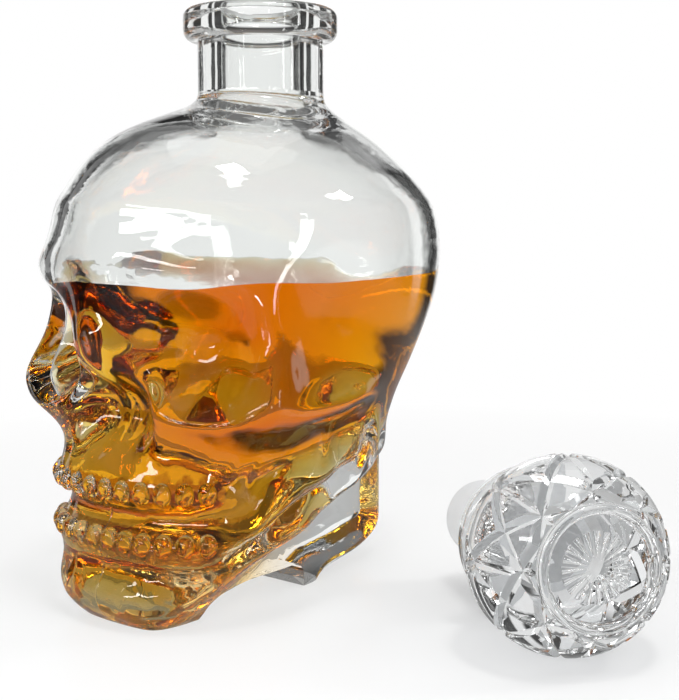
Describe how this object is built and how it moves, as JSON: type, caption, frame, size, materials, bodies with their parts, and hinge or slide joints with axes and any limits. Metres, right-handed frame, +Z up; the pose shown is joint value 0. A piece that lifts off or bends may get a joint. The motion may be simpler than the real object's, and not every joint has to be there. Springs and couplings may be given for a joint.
{
  "type": "figural liquor decanter",
  "caption": "Skull-shaped decanter of thick clear glass with a round lipped neck, part filled with amber spirit, its cut-glass ball stopper with frosted plug lying beside it.",
  "frame": {"origin": "on the table under the middle of the neck, at the flat underside of the decanter", "axes": "+Z up along the neck, the face looks along -Y, the loose stopper lies on the +X side"},
  "size_m": [0.1733, 0.1285, 0.16],
  "materials": {
    "clear_glass": "polished, clear with a faint grey-green cast",
    "amber_spirit": "clear amber liquid",
    "cut_glass": "polished cut crystal",
    "frosted_plastic": "frosted, translucent"
  },
  "bodies": {
    "decanter": {"skull_bottle": "clear_glass", "liquor_fill": "amber_spirit"},
    "stopper": {"crystal_stopper": "cut_glass", "stopper_sleeve": "frosted_plastic"}
  },
  "joints": [
    {"name": "stopper_lift", "type": "slide", "parent": "decanter", "child": "stopper", "axis": [0, 0, 1], "range_m": [0, 0.19]}
  ]
}
